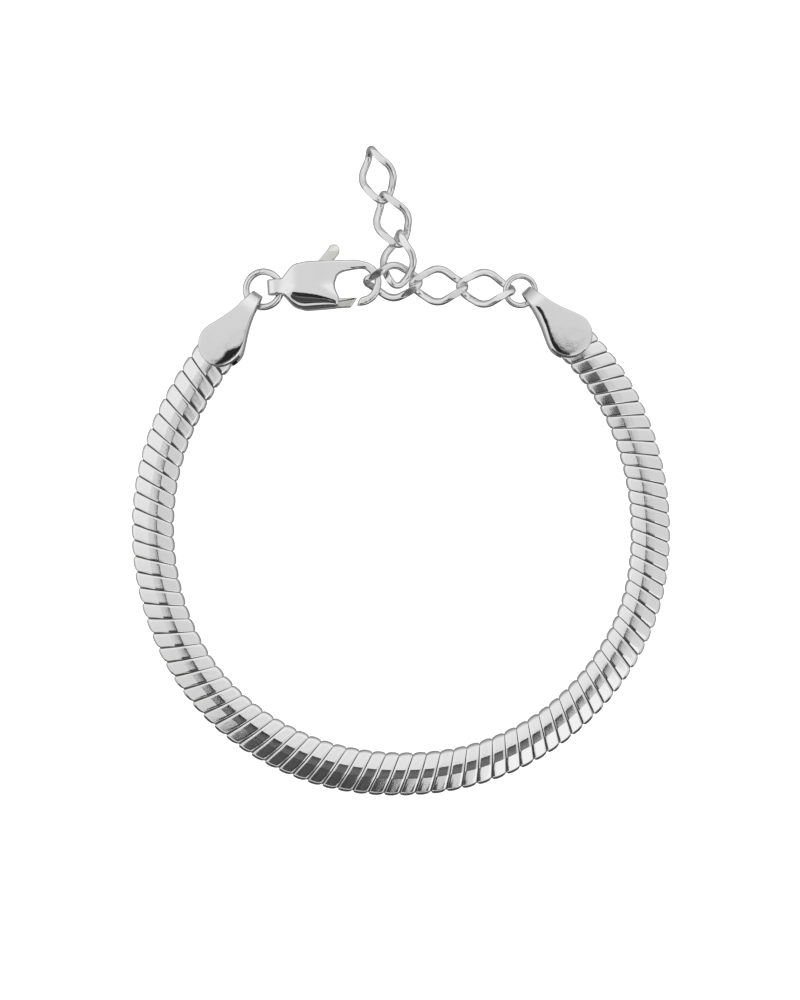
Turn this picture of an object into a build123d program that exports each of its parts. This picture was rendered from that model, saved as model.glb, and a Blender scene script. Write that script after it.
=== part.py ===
"""Chain bracelet: flattened snake chain, two folded end caps, jump rings, lobster clasp, extension links.

Millimetres. The bracelet lies flat, closed in a loop, Z up from the surface it lies on.
The origin is the middle of the loop, where the wrist goes.
"""
import os
from math import atan2, cos, degrees, hypot, pi, radians, sin, tan

from build123d import *

# Chain
chain_width = 4.94
chain_height = 2.2
chain_edge_radius = 0.62
chain_strip_width = 1.0
chain_strip_offset = 0.05
chain_facet_tilt = 12.0
chain_crease_radius = 1.0
sheet = 0.35
loop_radius = 29.3
link_count = 83
link_gap = 0.25
link_wall = 0.30
link_skew = 20.0
link_wedge = 0.5
link_sharp_corner = 0.45
link_blunt_corner = 0.72
stem_width = 0.90
stem_height = 0.60
stem_clearance = 0.16
head_width = 1.70
head_height = 1.00
head_thickness = 0.30
head_play = 0.18

# Route of the chain, from the left cap down and round to the right cap:
# angle from +X, then shares of the loop radius, the chain width and the mean link pitch
chain_route = [
    (134.5, 1.0352, 0.97, 1.07),
    (142.0, 1.0177, 0.98, 1.07),
    (158.0, 1.0068, 1.00, 1.07),
    (178.0, 1.0000, 1.01, 1.04),
    (198.0, 1.0010, 1.02, 1.03),
    (218.0, 1.0055, 1.05, 1.00),
    (238.0, 0.9966, 1.08, 0.99),
    (254.0, 0.9874, 1.08, 1.00),
    (270.0, 0.9799, 1.03, 1.02),
    (286.0, 0.9846, 0.99, 1.00),
    (306.0, 0.9925, 0.96, 0.97),
    (326.0, 0.9990, 0.945, 0.95),
    (342.0, 1.0034, 0.94, 0.95),
    (358.0, 0.9973, 0.94, 0.95),
    (378.0, 1.0020, 0.95, 0.95),
    (388.0, 1.0093, 0.96, 0.95),
    (398.0, 1.0163, 0.97, 0.95),
    (409.0, 1.0273, 0.97, 0.95),
]
chain_rise_length = 12.0

# End caps
cap_length = 10.1
cap_radius = 2.72
cap_height = 3.14
cap_strap_height = 2.2
cap_tip_width = 1.32
cap_tip_flare = 0.12
cap_edge_round = 0.5
cap_eye_length = 1.9
cap_eye_height = 1.40
cap_eye_round = 0.35
cap_sheet = 0.36
cap_clearance = 0.13
cap_side_clearance = 0.12
cap_bulkhead = 7.6
cap_mouth = 8.0
cap_cavity_length = 0.85
cap_cavity_play = 0.27
cap_plate_run = 0.56
cap_strap_roof = 0.40
cap_plate_roof = 0.50

# Plan of an end cap between its tip and its round end: shares of its length and of its radius
cap_outline = [(0.35, 0.49), (cap_plate_run, 0.81)]

# Hollow of the folded strap, the same way
cap_hollow = [(0.186, 0.22), (0.575, 0.66)]

# Place of the end caps
left_cap_tip = (-16.90, 27.82)
left_cap_heading = 235.0
right_cap_tip = (14.51, 28.25)
right_cap_heading = -46.8

# Jump rings
left_ring_radius = 2.08
left_ring_wire = 0.79
left_ring_centre = (-16.31, 28.32, 1.10)
left_ring_slope = (0.143, 0.018)
right_ring_radius = 1.73
right_ring_wire = 0.66

# Extension links
extension_length = 7.05
extension_width = 4.50
extension_wire = 0.66
extension_twist = 0.86
extension_flat = 0.14
extension_quarter = 0.40
extension_tip_radius = 0.78
extension_quarter_radius = 1.5
extension_side_radius = 2.1

# Lie of the right jump ring and of the extension links:
# X, Y, Z of the middle, then yaw, pitch and roll
right_ring_lie = (13.930, 28.145, 1.180, -5.58, 3.27, 9.81)
extension_lies = [
    (9.866, 28.427, 1.213, -4.38, -1.31, -12.07),
    (4.303, 28.769, 1.147, -2.32, 0.21, -1.94),
    (-1.077, 29.212, 1.341, -0.55, 3.28, 16.77),
    (-0.419, 31.842, 1.520, -93.56, -0.92, 27.51),
    (-1.184, 36.530, 1.304, -71.15, 0.85, 17.16),
    (-2.925, 41.743, 1.385, -75.95, 1.29, 22.92),
]

# Lobster clasp
clasp_origin = (-15.83, 28.50)
clasp_yaw = 3.5
clasp_length = 13.625
clasp_width = 5.80
clasp_thickness = 2.9
clasp_top_round = 0.30
clasp_nose_height = 1.04
bail_width = 1.86
bail_height = 1.90
bail_sheet = 0.35
bail_eye_end = 2.2
hook_bar = 1.05
hook_edge = 0.32
hook_radius = 2.25
hook_drop = 0.12
hook_mouth_angle = -97.2
hook_mouth_tilt = 64.2
post_radius = 0.40
hub_radius = 0.90
lever_thickness = 1.0
lever_clearance = 0.12
post_clearance = 0.10
hub_clearance = 0.12
tab_radius = 0.72
tab_slot = (58.0, 113.0)
tab_slot_reach = 7.0
gate_slot = (-32.0, 31.0)
gate_slot_reach = 3.5

# Plan of the clasp without its hook, from the bail: shares of its length and width, then the
# corner's radius as a share of its width
clasp_outline = [
    (0.0881, 0.0483, 0.0172),
    (0.2312, 0.4259, 0.2241),
    (0.3450, 0.4690, 0.5172),
    (0.6826, 0.4621, 0.0690),
    (0.6826, 0.2448, 0.0517),
    (0.6092, 0.1810, 0.1379),
    (0.5798, 0.0000, 0.2069),
    (0.6055, -0.2586, 0.2069),
    (0.6055, -0.5121, 0.0517),
    (0.3266, -0.5293, 0.2759),
    (0.2202, -0.4397, 0.2759),
    (0.0881, -0.0483, 0.0172),
]
# Along the clasp: where its bail ends, its body is full, its nose starts and its nose ends
clasp_stations = (0.0734, 0.1468, 0.2422, 0.5284, 0.6899)
# Across the clasp: where its top starts to roll down, and its lowest edge
clasp_roll = (-0.155, -0.533)
clasp_pivot = (0.4206, -0.3017)

# Plan of the lever's gate and of its arm, in the same shares
lever_gate = [
    (0.4624, -0.2931),
    (0.7699, -0.3172),
    (0.7061, -0.5069),
    (0.5835, -0.5052),
    (0.4661, -0.3534),
]
lever_arm = [
    (0.4257, -0.2069),
    (0.4477, 0.4621),
    (0.5365, 0.6810),
    (0.5894, 0.6759),
    (0.6356, 0.6172),
    (0.5886, 0.4862),
    (0.4440, -0.1810),
]


def flattened_face(width, height, edge_radius):
    """Return the chain's section: above and below a level strip between two leaning facets, and round edges."""
    half = width / 2
    rise = height / 2
    inner = chain_strip_offset + chain_strip_width / 2
    outer = chain_strip_offset - chain_strip_width / 2
    fall = tan(radians(chain_facet_tilt))
    inner_level = rise - fall * (half - inner)
    outer_level = rise - fall * (half + outer)
    corners = [
        (outer, rise),
        (inner, rise),
        (half, inner_level),
        (half, -inner_level),
        (inner, -rise),
        (outer, -rise),
        (-half, -outer_level),
        (-half, outer_level),
    ]
    crease = chain_crease_radius
    rounds = [crease, crease, edge_radius, edge_radius, crease, crease, edge_radius, edge_radius]
    with BuildSketch() as face:
        with BuildLine():
            FilletPolyline(*corners, radius=rounds, close=True)
        make_face()
    return face.sketch


def skewed_face(start, end, width, wedge=0.0, rounded=False):
    """Return a band across the chain whose long sides lean by the link skew, wider by the wedge outside."""
    half = width / 2
    lean = half * tan(radians(link_skew))
    corners = [
        (start - lean - wedge, -half),
        (end - lean + wedge, -half),
        (end + lean - wedge, half),
        (start + lean + wedge, half),
    ]
    sharp = link_sharp_corner
    blunt = link_blunt_corner
    with BuildSketch() as face:
        with BuildLine():
            if rounded:
                FilletPolyline(*corners, radius=[sharp, blunt, sharp, blunt], close=True)
            else:
                Polyline(*corners, close=True)
        make_face()
    return face.sketch


def skewed_block(start, end, width, height, level=0.0):
    """Return a skewed block, of this height about a level."""
    with BuildPart() as block:
        with BuildSketch(Plane.XY.offset(level - height / 2)):
            add(skewed_face(start, end, width))
        extrude(amount=height)
    return block.part


def headed_stem(face, level=0.0):
    """Return the stem and head that reach from a front face into the next link."""
    head_start = face + link_gap + link_wall + head_play
    head_middle = head_start + head_thickness / 2
    with BuildPart() as stem:
        add(skewed_block(face - link_wall / 2, head_middle, stem_width, stem_height, level))
        add(skewed_block(head_start, head_start + head_thickness, head_width, head_height, level))
    return stem.part


def stem_slot(face, level=0.0):
    """Return the hole for a stem through the wall behind this face."""
    slot_width = stem_width + 2 * stem_clearance
    slot_height = stem_height + 2 * stem_clearance
    return skewed_block(face - link_gap, face + link_wall + head_play / 2, slot_width, slot_height, level)


def flattened_slab(width, height, edge_radius, plan):
    """Return a bar of the chain's section along X, cut to a plan."""
    reach = cap_length + chain_width
    with BuildPart() as slab:
        with BuildSketch(Plane.YZ.offset(-reach)):
            add(flattened_face(width, height, edge_radius))
        extrude(amount=2 * reach)
        with BuildSketch(Plane.XY.offset(-height)):
            add(plan)
        extrude(amount=2 * height, mode=Mode.INTERSECT)
    return slab.part


def chain_link(width, length):
    """Return one hollow plate link about its middle, travelling along +X with the loop's inside at +Y."""
    wedge = link_wedge * length / 2 * width / 2 / loop_radius
    plan = skewed_face(-length / 2, length / 2, width, wedge, rounded=True)
    hollow_plan = skewed_face(link_wall - length / 2, length / 2 - link_wall, width, wedge)
    hollow_width = width - 2 * sheet
    hollow_height = chain_height - 2 * sheet
    hollow = flattened_slab(hollow_width, hollow_height, chain_edge_radius - sheet, hollow_plan)
    with BuildPart() as link:
        add(flattened_slab(width, chain_height, chain_edge_radius, plan))
        add(hollow, mode=Mode.SUBTRACT)
        add(stem_slot(-length / 2), mode=Mode.SUBTRACT)
        add(headed_stem(length / 2))
    return link.part


def route_share(angle, column):
    """Return one share of the chain's route table at an angle."""
    for here, there in zip(chain_route, chain_route[1:]):
        if angle <= there[0]:
            break
    part = min(1.0, max(0.0, (angle - here[0]) / (there[0] - here[0])))
    return here[column] + part * (there[column] - here[column])


def route_angle(point):
    """Return a point's angle round the loop, counted on past a full turn at the right."""
    angle = degrees(atan2(point.Y, point.X))
    return angle if angle > 90 else angle + 360


def heading_vector(heading):
    """Return the level direction of a heading in degrees."""
    return Vector(cos(radians(heading)), sin(radians(heading)), 0)


def link_places():
    """Return the plane, width and length of every chain link, spaced along the route by arc length."""
    points = []
    for angle, radius_share, _, _ in chain_route:
        points.append(loop_radius * radius_share * heading_vector(angle))
    start_heading = heading_vector(left_cap_heading)
    end_heading = -1 * heading_vector(right_cap_heading)
    points[0] = Vector(*left_cap_tip) + cap_bulkhead * start_heading
    points[-1] = Vector(*right_cap_tip) - cap_bulkhead * end_heading
    with BuildLine():
        route = Spline(*points, tangents=[start_heading, end_heading], tangent_scalars=[1.0, 1.0])
    length = route.length
    shares = []
    for index in range(link_count):
        middle = (index + 0.5) / link_count * length
        angle = route_angle(route.position_at(middle, position_mode=PositionMode.LENGTH))
        shares.append(route_share(angle, 3))
    unit = (length - link_gap) / sum(shares)
    level_run = cap_length - cap_bulkhead
    lift = cap_height / 2 - chain_height / 2
    places = []
    along = 0.0
    for share in shares:
        pitch = unit * share
        middle = along + link_gap / 2 + pitch / 2
        along += pitch
        spot = route.position_at(middle, position_mode=PositionMode.LENGTH)
        forward = route.tangent_at(middle, position_mode=PositionMode.LENGTH)
        from_cap = min(middle, length - middle) - level_run
        fall = pi * min(1.0, max(0.0, from_cap / chain_rise_length))
        slope = -lift / 2 * pi / chain_rise_length * sin(fall)
        if middle > length / 2:
            slope = -slope
        height = chain_height / 2 + lift * (1 + cos(fall)) / 2
        side = Vector(-forward.Y, forward.X, 0)
        travel = Vector(forward.X, forward.Y, slope).normalized()
        plane = Plane(
            origin=(spot.X, spot.Y, height),
            x_dir=travel,
            z_dir=travel.cross(side),
        )
        width = chain_width * route_share(route_angle(spot), 2)
        places.append((plane, width, pitch - link_gap))
    return places


def end_cap(takes_head):
    """Return one end cap, tip at the origin and round end along +X.

    The cap at the end of the chain takes the last link's head. The one at its start has a head of its own.
    """
    chain_level = cap_height / 2
    tip_round = cap_strap_height / 2
    mouth_height = chain_height + 2 * cap_clearance
    passage_width = chain_width * chain_route[0][2] + 2 * cap_side_clearance
    passage_plan = skewed_face(cap_bulkhead, cap_length + cap_radius, 2 * cap_radius)
    passage = flattened_slab(passage_width, mouth_height, chain_edge_radius + cap_side_clearance, passage_plan)
    with BuildPart() as cap:
        with BuildSketch(Plane.XZ):
            with BuildLine():
                ThreePointArc((tip_round, 0), (0, tip_round), (tip_round, cap_strap_height))
                FilletPolyline(
                    (tip_round, cap_strap_height),
                    (cap_plate_run * cap_length, cap_height),
                    (cap_length, cap_height),
                    radius=cap_length,
                )
                Polyline((cap_length, cap_height), (cap_length, 0), (tip_round, 0))
            make_face()
        extrude(amount=cap_radius, both=True)
        round_middle = cap_length - cap_radius
        with BuildSketch():
            with BuildLine():
                Spline(
                    (0, cap_tip_width / 2),
                    *[(along * cap_length, across * cap_radius) for along, across in cap_outline],
                    (round_middle, cap_radius),
                    tangents=[(1, cap_tip_flare), (1, 0)],
                )
                mirror(about=Plane.XZ)
                Line((0, cap_tip_width / 2), (0, -cap_tip_width / 2))
                ThreePointArc((round_middle, cap_radius), (cap_length, 0), (round_middle, -cap_radius))
            make_face()
        extrude(amount=cap_height, mode=Mode.INTERSECT)
        plate_edges = cap.edges().filter_by(lambda edge: edge.center().Z > cap_strap_height)
        fillet(plate_edges.filter_by(Axis.Y, reverse=True), radius=cap_edge_round)
        eye_middle = cap_sheet + cap_eye_length / 2
        with BuildSketch(Plane.XZ):
            with Locations((eye_middle, cap_sheet + cap_eye_height / 2)):
                RectangleRounded(cap_eye_length, cap_eye_height, cap_eye_round)
        extrude(amount=cap_radius, both=True, mode=Mode.SUBTRACT)
        with Locations((0, 0, chain_level)):
            add(passage, mode=Mode.SUBTRACT)
        with BuildSketch(Plane.XZ):
            with Locations((cap_mouth, chain_level)):
                Rectangle(cap_length, mouth_height, align=(Align.MIN, Align.CENTER))
        extrude(amount=cap_radius, both=True, mode=Mode.SUBTRACT)
        if takes_head:
            back = cap_bulkhead - link_wall
            cavity_width = head_width + 2 * cap_cavity_play
            cavity_height = head_height + 2 * head_play
            add(skewed_block(back - cap_cavity_length, back, cavity_width, cavity_height, chain_level),
                mode=Mode.SUBTRACT)
            add(stem_slot(back, chain_level), mode=Mode.SUBTRACT)
        else:
            add(headed_stem(cap_bulkhead, chain_level))
    return cap.part


def strap_hollow():
    """Return the hollow of the folded strap, between a cap's eye and its bulkhead."""
    (start, start_half), (end, end_half) = [
        (along * cap_length, across * cap_radius) for along, across in cap_hollow
    ]
    with BuildPart() as hollow:
        with BuildSketch():
            with BuildLine():
                Polyline(
                    (start, start_half),
                    (end, end_half),
                    (end, -end_half),
                    (start, -start_half),
                    close=True,
                )
            make_face()
        extrude(amount=cap_height)
        with BuildSketch(Plane.XZ):
            with BuildLine():
                Polyline(
                    (start, cap_sheet),
                    (end, cap_sheet),
                    (end, cap_height - cap_plate_roof),
                    (start, cap_strap_height - cap_strap_roof),
                    close=True,
                )
            make_face()
        extrude(amount=cap_radius, both=True, mode=Mode.INTERSECT)
    return hollow.part


def level_plane(spot, heading, height=0.0):
    """Return a level plane at a spot, its X axis along a heading."""
    return Plane(origin=(spot[0], spot[1], height), x_dir=heading_vector(heading), z_dir=(0, 0, 1))


def lie_plane(lie):
    """Return the plane of a piece from its middle and its yaw, pitch and roll."""
    x, y, z, yaw, pitch, roll = lie
    turned = Location((x, y, z)) * Location((0, 0, 0), (0, 0, yaw)) * Location((0, 0, 0), (0, pitch, 0))
    return Plane(turned * Location((0, 0, 0), (roll, 0, 0)))


def jump_ring(radius, wire):
    """Return a closed ring of round wire about Z."""
    with BuildPart() as ring:
        Torus(radius, wire / 2)
    return ring.part


def extension_link():
    """Return one curb link about its middle, long along X: twisted, then ground flat on both sides."""
    wire = extension_wire
    twist = extension_twist
    half_length = (extension_length - wire) / 2
    half_width = (extension_width - wire) / 2
    near = extension_quarter
    far = 1 - extension_quarter
    tip = half_length
    side = half_width
    for _ in range(12):
        tip_angle = atan2(hypot(side * near, twist), tip * near)
        side_angle = atan2(tip * far, side * far)
        tip = half_length + extension_tip_radius * (1 / sin(tip_angle) - 1)
        side = half_width + extension_side_radius * (1 / sin(side_angle) - 1)
    corners = [
        Vector(0, side, 0),
        Vector(tip * far, side * near, -twist),
        Vector(tip, 0, 0),
        Vector(tip * far, -side * near, twist),
        Vector(0, -side, 0),
        Vector(-tip * far, -side * near, -twist),
    ]
    start = (corners[0] + Vector(-tip * far, side * near, twist)) * 0.5
    end = (corners[4] + corners[5]) * 0.5
    rounds = [
        extension_side_radius,
        extension_quarter_radius,
        extension_tip_radius,
        extension_quarter_radius,
        extension_side_radius,
    ]
    with BuildPart() as half:
        with BuildLine() as path:
            FilletPolyline(start, *corners[:5], end, radius=rounds)
        wire_path = path.wires()[0]
        with BuildSketch(Plane(origin=wire_path @ 0, z_dir=wire_path % 0)):
            Circle(wire / 2)
        sweep(path=wire_path)
    with BuildPart() as link:
        add(half.part)
        add(half.part.rotate(Axis.Z, 180))
        top = link.part.bounding_box().max.Z
        Box(2 * extension_length, 2 * extension_width, 2 * (top - extension_flat), mode=Mode.INTERSECT)
    return link.part


def clasp_points(rows):
    """Return points of the clasp's plan from shares of its length and width."""
    return [(row[0] * clasp_length, row[1] * clasp_width) for row in rows]


def lever_slot(angles, reach):
    """Return the room that a part of the lever sweeps about its pivot between two angles."""
    first, last = angles
    pivot = Vector(*clasp_points([clasp_pivot])[0])
    spokes = [pivot]
    for angle in (first, (first + last) / 2, last):
        spokes.append(pivot + reach * heading_vector(angle))
    room = lever_thickness / 2 + lever_clearance
    with BuildPart() as slot:
        with BuildSketch(Plane.XY.offset(-room)):
            with BuildLine():
                Polyline(*spokes, close=True)
            make_face()
        extrude(amount=2 * room)
    return slot.part


def clasp_hook():
    """Return the bar that runs from the clasp's body round to the hook's mouth."""
    centre = Vector(clasp_length - hook_radius - hook_bar / 2, -hook_drop)
    start = Vector(clasp_stations[3] * clasp_length, centre.Y + hook_radius)
    mouth = centre + hook_radius * heading_vector(hook_mouth_angle)
    past_mouth = degrees(hook_bar / hook_radius / 2)
    with BuildPart() as hook:
        with BuildLine() as path:
            Line(start, (centre.X, start.Y))
            CenterArc(centre, hook_radius, 90, hook_mouth_angle - 90 - past_mouth)
        wire_path = path.wires()[0]
        with BuildSketch(Plane(origin=wire_path @ 0, z_dir=wire_path % 0)):
            RectangleRounded(hook_bar, hook_bar, hook_edge)
        sweep(path=wire_path)
        with BuildSketch(Plane.XY.offset(-hook_bar)):
            with Locations(Location((mouth.X, mouth.Y, 0), (0, 0, hook_mouth_tilt))):
                Rectangle(2.5 * hook_bar, hook_bar, align=(Align.CENTER, Align.MIN))
        extrude(amount=2 * hook_bar, mode=Mode.SUBTRACT)
    return hook.part


def clasp_bail():
    """Return the clasp's folded strap, without its eye."""
    end_round = bail_height / 2
    strap_end = clasp_stations[2] * clasp_length
    with BuildPart() as bail:
        with BuildSketch(Plane.XZ):
            with BuildLine():
                ThreePointArc((end_round, -end_round), (0, 0), (end_round, end_round))
                Polyline(
                    (end_round, end_round),
                    (strap_end, end_round),
                    (strap_end, -end_round),
                    (end_round, -end_round),
                )
            make_face()
        extrude(amount=bail_width / 2, both=True)
    return bail.part


def clasp_shell():
    """Return the clasp's body without bail and hook: flat above and below, rolled along its low side."""
    body_level = clasp_thickness / 2
    bail_level = bail_height / 2
    nose_level = clasp_nose_height / 2
    bail_end, foot, full, nose, end = [share * clasp_length for share in clasp_stations]
    roll_start, lowest = [share * clasp_width for share in clasp_roll]
    with BuildPart() as shell:
        with BuildSketch(Plane.XY.offset(-body_level)):
            with BuildLine():
                rounds = [share * clasp_width for _, _, share in clasp_outline]
                FilletPolyline(*clasp_points(clasp_outline), radius=rounds, close=True)
            make_face()
        extrude(amount=clasp_thickness)
        with BuildSketch(Plane.YZ):
            with BuildLine():
                EllipticalCenterArc((roll_start, 0), roll_start - lowest, body_level, 90, arc_size=180)
                FilletPolyline(
                    (roll_start, -body_level),
                    (clasp_width / 2, -body_level),
                    (clasp_width / 2, body_level),
                    (roll_start, body_level),
                    radius=clasp_top_round,
                )
            make_face()
        extrude(amount=clasp_length, mode=Mode.INTERSECT)
        with BuildSketch(Plane.XZ):
            upper = [
                (bail_end, bail_level),
                (foot, bail_level),
                (full, body_level),
                (nose, body_level),
                (end, nose_level),
            ]
            lower = [(x, -z) for x, z in reversed(upper)]
            with BuildLine():
                FilletPolyline(*upper, radius=clasp_thickness / 2)
                Line(upper[-1], lower[0])
                FilletPolyline(*lower, radius=clasp_thickness / 2)
                Line(lower[-1], upper[0])
            make_face()
        extrude(amount=clasp_width, both=True, mode=Mode.INTERSECT)
    return shell.part


os.makedirs("parts", exist_ok=True)

# Snake chain
chain_links = []
for plane, width, length in link_places():
    chain_links.append(chain_link(width, length).moved(Location(plane)))
snake_chain = Compound(chain_links)
snake_chain.label = "snake_chain"
export_step(snake_chain, "parts/snake_chain.step")

# End caps
hollow = strap_hollow()
with BuildPart() as end_cap_left:
    with Locations(Location(level_plane(left_cap_tip, left_cap_heading))):
        add(end_cap(takes_head=False))
        add(hollow, mode=Mode.SUBTRACT)
end_cap_left.part.label = "end_cap_left"
export_step(end_cap_left.part, "parts/end_cap_left.step")

with BuildPart() as end_cap_right:
    with Locations(Location(level_plane(right_cap_tip, right_cap_heading))):
        add(end_cap(takes_head=True))
        add(hollow, mode=Mode.SUBTRACT)
end_cap_right.part.label = "end_cap_right"
export_step(end_cap_right.part, "parts/end_cap_right.step")

# Jump rings
slope_x, slope_y = left_ring_slope
left_ring_plane = Plane(origin=left_ring_centre, x_dir=(1, 0, slope_x), z_dir=(-slope_x, -slope_y, 1))
with BuildPart() as jump_ring_left:
    with Locations(Location(left_ring_plane)):
        add(jump_ring(left_ring_radius, left_ring_wire))
jump_ring_left.part.label = "jump_ring_left"
export_step(jump_ring_left.part, "parts/jump_ring_left.step")

with BuildPart() as jump_ring_right:
    with Locations(Location(lie_plane(right_ring_lie))):
        add(jump_ring(right_ring_radius, right_ring_wire))
jump_ring_right.part.label = "jump_ring_right"
export_step(jump_ring_right.part, "parts/jump_ring_right.step")

# Extension links
curb_link = extension_link()
for number, lie in enumerate(extension_lies, start=1):
    with BuildPart() as placed_link:
        with Locations(Location(lie_plane(lie))):
            add(curb_link)
    placed_link.part.label = f"extension_link_{number}"
    export_step(placed_link.part, f"parts/extension_link_{number}.step")

# Lobster clasp
clasp_place = Location(level_plane(clasp_origin, clasp_yaw, clasp_thickness / 2))
pivot = clasp_points([clasp_pivot])[0]
with BuildPart() as clasp_solid:
    add(clasp_shell())
    add(clasp_bail())
    add(clasp_hook())
    eye_height = bail_height - 2 * bail_sheet
    with BuildSketch(Plane.XZ):
        with Locations(((bail_sheet + bail_eye_end) / 2, 0)):
            SlotOverall(bail_eye_end - bail_sheet, eye_height)
    extrude(amount=clasp_width, both=True, mode=Mode.SUBTRACT)
    add(lever_slot(tab_slot, tab_slot_reach), mode=Mode.SUBTRACT)
    add(lever_slot(gate_slot, gate_slot_reach), mode=Mode.SUBTRACT)
    with Locations(pivot):
        Cylinder(hub_radius + hub_clearance, lever_thickness + 2 * lever_clearance, mode=Mode.SUBTRACT)
        Cylinder(post_radius, lever_thickness + 4 * lever_clearance)
with BuildPart() as clasp_body:
    with Locations(clasp_place):
        add(clasp_solid.part)
clasp_body.part.label = "clasp_body"
export_step(clasp_body.part, "parts/clasp_body.step")

with BuildPart() as lever_solid:
    with BuildSketch(Plane.XY.offset(-lever_thickness / 2)):
        with Locations(pivot):
            Circle(hub_radius)
        with BuildLine():
            Polyline(*clasp_points(lever_gate), close=True)
        make_face()
        with BuildLine():
            Polyline(*clasp_points(lever_arm), close=True)
        make_face()
        with Locations(clasp_points(lever_arm)[3]):
            Circle(tab_radius)
    extrude(amount=lever_thickness)
    with Locations(pivot):
        Cylinder(post_radius + post_clearance, 2 * lever_thickness, mode=Mode.SUBTRACT)
with BuildPart() as clasp_lever:
    with Locations(clasp_place):
        add(lever_solid.part)
clasp_lever.part.label = "clasp_lever"
export_step(clasp_lever.part, "parts/clasp_lever.step")
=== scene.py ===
"""Chain bracelet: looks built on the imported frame.

Every piece is silver with a bright rhodium finish, and lies flat on a white table. Pieces are
shaped in millimetres with Z up, and brought to metres as each is finished.
"""
from math import atan2, cos, degrees, hypot, pi, radians, sin, sqrt, tan

import bmesh
import bpy
import numpy as np
from mathutils import Matrix, Vector


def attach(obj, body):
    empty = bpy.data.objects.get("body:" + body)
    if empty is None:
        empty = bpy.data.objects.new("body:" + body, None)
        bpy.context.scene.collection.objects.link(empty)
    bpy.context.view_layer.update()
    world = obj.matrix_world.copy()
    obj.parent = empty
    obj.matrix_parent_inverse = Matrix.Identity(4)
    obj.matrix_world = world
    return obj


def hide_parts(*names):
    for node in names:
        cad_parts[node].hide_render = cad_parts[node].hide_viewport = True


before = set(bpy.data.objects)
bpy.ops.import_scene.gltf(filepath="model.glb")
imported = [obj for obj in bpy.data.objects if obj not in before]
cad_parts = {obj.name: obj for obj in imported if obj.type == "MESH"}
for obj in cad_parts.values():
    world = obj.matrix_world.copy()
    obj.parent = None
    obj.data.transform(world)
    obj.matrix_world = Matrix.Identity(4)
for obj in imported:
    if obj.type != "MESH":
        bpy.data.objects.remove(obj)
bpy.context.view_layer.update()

# Snake chain: hollow silver plate links with a level strip between two leaning facets, cut on a
# skew, each riveted loosely into the next. Rolled flat as a chain, tumbled, polished and rhodium
# plated, with a fine bright bevel along both cut sides. The metal seen down in the joints is
# satin, and painted dark grey as painted shade so that the gaps between links read dark.
MM = 0.001
SHARP_EDGE = radians(38)
CHAIN_WIDTH = 4.94
CHAIN_HEIGHT = 2.2
CHAIN_EDGE_RADIUS = 0.62
CHAIN_RISE = 12.0
STRIP_WIDTH = 1.0
STRIP_OFFSET = 0.05
FACET_TILT = radians(12)
CREASE = 0.03
LOOP_RADIUS = 29.3
LINK_COUNT = 83
LINK_GAP = 0.25
LINK_LONGER = 0.15
LINK_SKEW = radians(20)
LINK_WEDGE = 0.5
LINK_SHARP_CORNER = 0.32
LINK_BLUNT_CORNER = 0.22
LINK_BEVEL = 0.09
SCALLOP = 0.17
SCALLOP_REACH = 1.1
JOINT_LENGTH = 0.8
JOINT_INSET = 0.32

# where a link's faces are cut so that they can take its curves: degrees round its side edges and
# shares of half its length, and for a joint shares of half its width
EDGE_CUTS = (12, 27, 42, 57, 72, 83)
LINK_CUTS = (-0.6, -0.25, 0.25, 0.6)
JOINT_CUTS = (0.35, 0.6, 0.75, 0.88)
LINK_SNAP = 1e-5
LINK_MERGE = 1e-3

# the caps' sizes and places that the chain's two ends need too
CAP_HEIGHT = 3.14
CAP_LENGTH = 10.1
CAP_BULKHEAD = 7.6
LEFT_CAP_TIP = (-16.90, 27.82)
LEFT_CAP_HEADING = radians(235.0)
RIGHT_CAP_TIP = (14.51, 28.25)
RIGHT_CAP_HEADING = radians(-46.8)

# the chain's route: angle in degrees, then shares of the loop radius, the width and the mean pitch
CHAIN_ROUTE = [
    (134.5, 1.0352, 0.97, 1.07),
    (142.0, 1.0177, 0.98, 1.07),
    (158.0, 1.0068, 1.00, 1.07),
    (178.0, 1.0000, 1.01, 1.04),
    (198.0, 1.0010, 1.02, 1.03),
    (218.0, 1.0055, 1.05, 1.00),
    (238.0, 0.9966, 1.08, 0.99),
    (254.0, 0.9874, 1.08, 1.00),
    (270.0, 0.9799, 1.03, 1.02),
    (286.0, 0.9846, 0.99, 1.00),
    (306.0, 0.9925, 0.96, 0.97),
    (326.0, 0.9990, 0.945, 0.95),
    (342.0, 1.0034, 0.94, 0.95),
    (358.0, 0.9973, 0.94, 0.95),
    (378.0, 1.0020, 0.95, 0.95),
    (388.0, 1.0093, 0.96, 0.95),
    (398.0, 1.0163, 0.97, 0.95),
    (409.0, 1.0273, 0.97, 0.95),
]
ROUTE_WIDTH = 2
ROUTE_PITCH = 3
ROUTE_STEPS = 4001


def linear(hex_colour):
    """Turn an sRGB hex colour into linear RGBA."""
    channels = [int(hex_colour[i:i + 2], 16) / 255 for i in (1, 3, 5)]
    return [c / 12.92 if c <= 0.04045 else ((c + 0.055) / 1.055) ** 2.4 for c in channels] + [1.0]


def add_node(tree, kind, settings, **links):
    """Add a shader node, set its properties and sockets, and link its inputs."""
    node = tree.nodes.new(kind)
    for key, value in settings.items():
        if key in node.inputs:
            node.inputs[key].default_value = value
        else:
            setattr(node, key, value)
    for key, source in links.items():
        tree.links.new(source, node.inputs[key.replace("_", " ")])
    return node


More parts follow.
